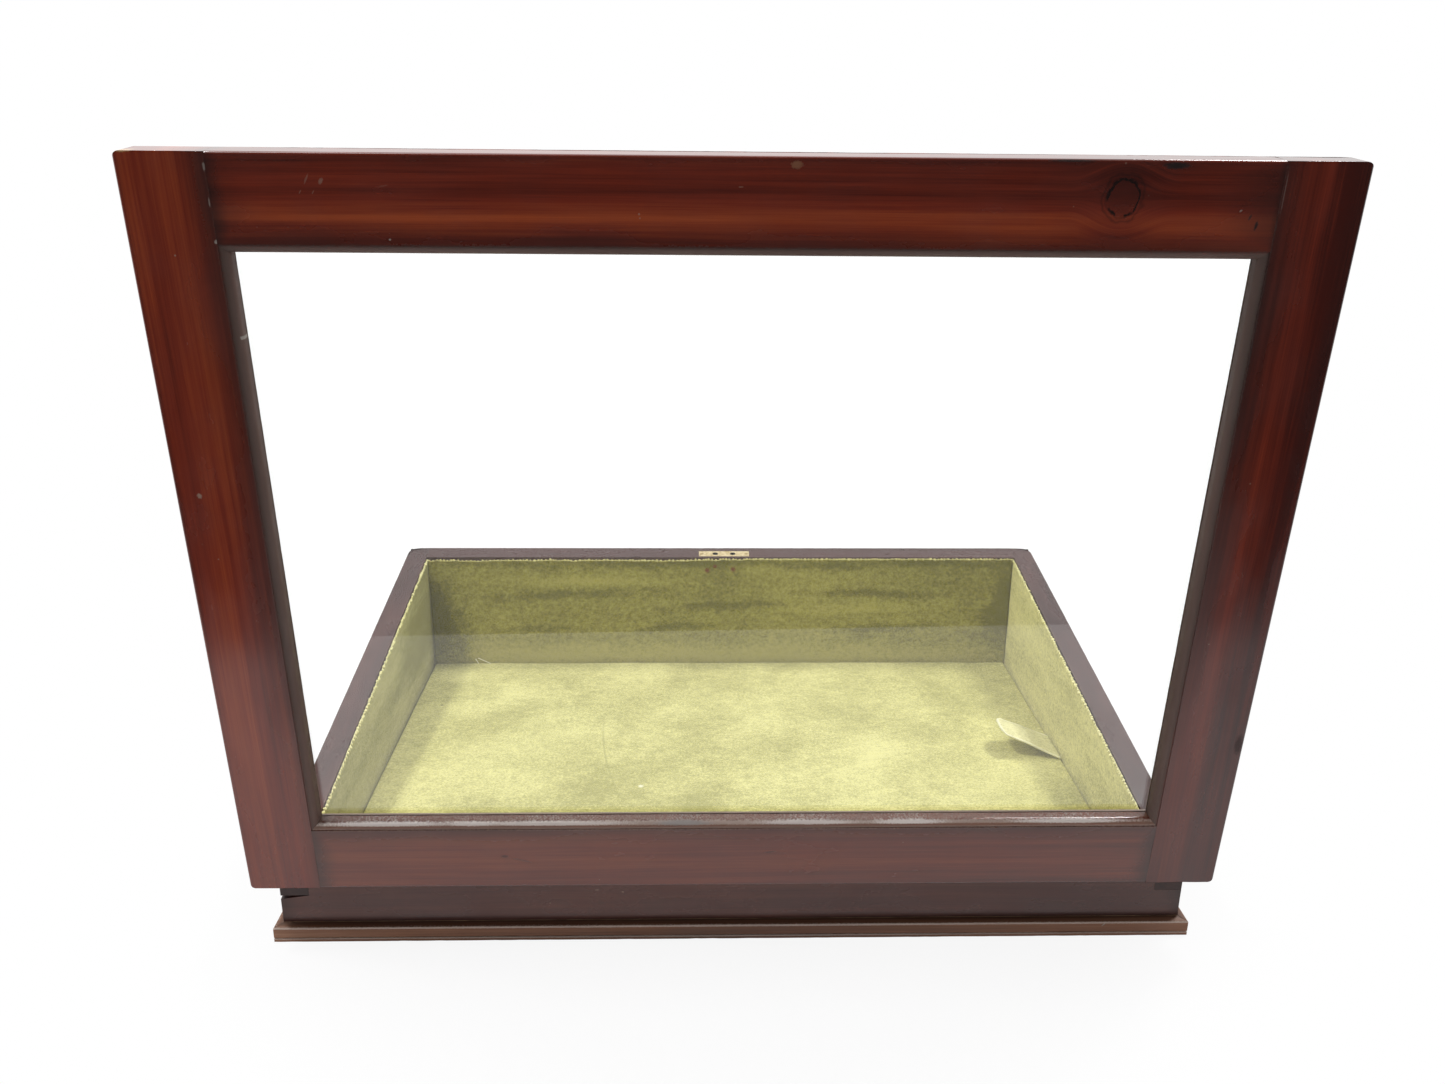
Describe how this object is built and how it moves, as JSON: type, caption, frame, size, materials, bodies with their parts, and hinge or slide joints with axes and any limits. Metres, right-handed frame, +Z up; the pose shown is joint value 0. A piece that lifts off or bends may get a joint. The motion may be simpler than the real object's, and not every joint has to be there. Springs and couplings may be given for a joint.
{
  "type": "sloping counter display case",
  "caption": "Low rectangular wooden display case with a sloping top, a hinged glazed lid, a velvet-lined interior with a lift-out floor pad, and a lock let into the high side.",
  "frame": {"origin": "middle of the base's footprint, on the surface it stands on", "axes": "+X along the width, towards the right as seen from the hinge side; +Y from the low hinge side to the high lock side; +Z up"},
  "size_m": [0.632, 0.4987, 0.5096],
  "materials": {
    "case_wood": "worn red-brown stain and old polish",
    "lid_wood": "worn red-brown stain and old polish",
    "pad_core": "bare board under the cloth",
    "velvet": "faded olive velvet, short pile",
    "glass": "clear, slightly dusty",
    "brass": "dulled",
    "steel": "dulled"
  },
  "bodies": {
    "case": {"front_board": "case_wood", "back_board": "case_wood", "left_side": "case_wood", "right_side": "case_wood", "bottom_board": "case_wood", "base_moulding_front": "case_wood", "base_moulding_back": "case_wood", "base_moulding_left": "case_wood", "base_moulding_right": "case_wood", "lining_front": "velvet", "lining_back": "velvet", "lining_left": "velvet", "lining_right": "velvet", "bottom_nails": "steel", "lock_case": "brass", "lock_cap": "brass", "key_pin": "brass", "lock_screws": "brass", "key_escutcheon": "brass", "hinge_left_case_leaf": "brass", "hinge_right_case_leaf": "brass", "hinge_left_pin": "brass", "hinge_right_pin": "brass", "hinge_case_screws": "brass"},
    "lid": {"lid_left_stile": "lid_wood", "lid_right_stile": "lid_wood", "lid_front_rail": "lid_wood", "lid_back_rail": "lid_wood", "glass_pane": "glass", "glazing_bead_front": "lid_wood", "glazing_bead_back": "lid_wood", "glazing_bead_left": "lid_wood", "glazing_bead_right": "lid_wood", "hinge_left_lid_leaf": "brass", "hinge_right_lid_leaf": "brass", "hinge_lid_screws": "brass", "link_plate": "brass", "link_plate_screws": "brass"},
    "pad": {"pad_board": "pad_core", "pad_velvet": "velvet", "pull_tab": "velvet"},
    "bolt": {"lock_bolt": "brass"}
  },
  "joints": [
    {"name": "lid_hinge", "type": "hinge", "parent": "case", "child": "lid", "pos_m": [0, -0.21489, 0.06598], "axis": [1, 0, 0], "range_deg": [-86.82, 0]},
    {"name": "pad_lift", "type": "slide", "parent": "case", "child": "pad", "axis": [0, 0, 1], "range_m": [0, 0.035]},
    {"name": "bolt_slide", "type": "slide", "parent": "case", "child": "bolt", "axis": [-1, 0, 0], "range_m": [0, 0.0025]}
  ]
}
